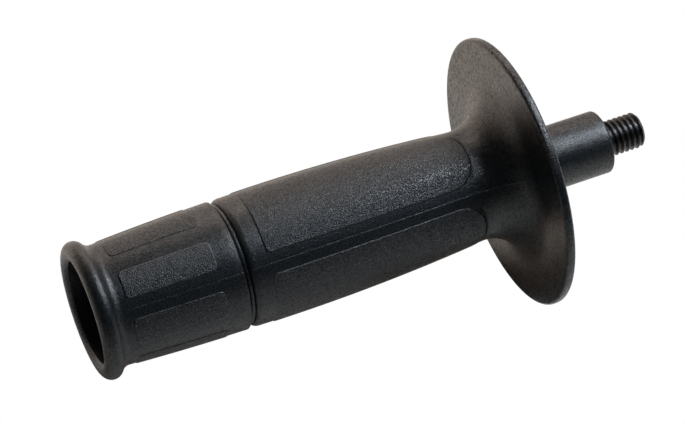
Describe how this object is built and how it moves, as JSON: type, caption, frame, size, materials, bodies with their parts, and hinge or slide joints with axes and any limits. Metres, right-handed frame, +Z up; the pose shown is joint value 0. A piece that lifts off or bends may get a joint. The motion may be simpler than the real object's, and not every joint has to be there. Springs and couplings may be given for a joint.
{
  "type": "power tool side handle",
  "caption": "Screw-in side handle: hollow barrel grip with raised grained panels, a round hand guard, a neck and a threaded steel stud.",
  "frame": {"origin": "centre of the shoulder, the flat end of the neck that meets the machine", "axes": "+X along the handle's axis, out of the shoulder along the threaded stud; the hollow rear end opens towards -X; +Z up"},
  "size_m": [0.1289, 0.06, 0.06],
  "materials": {
    "nylon": "black glass-filled nylon, moulded, spark-eroded grain in the panels",
    "stud_steel": "black oxide on rolled thread"
  },
  "bodies": {
    "root": {"handle_moulding": "nylon", "threaded_stud": "stud_steel"}
  },
  "joints": []
}
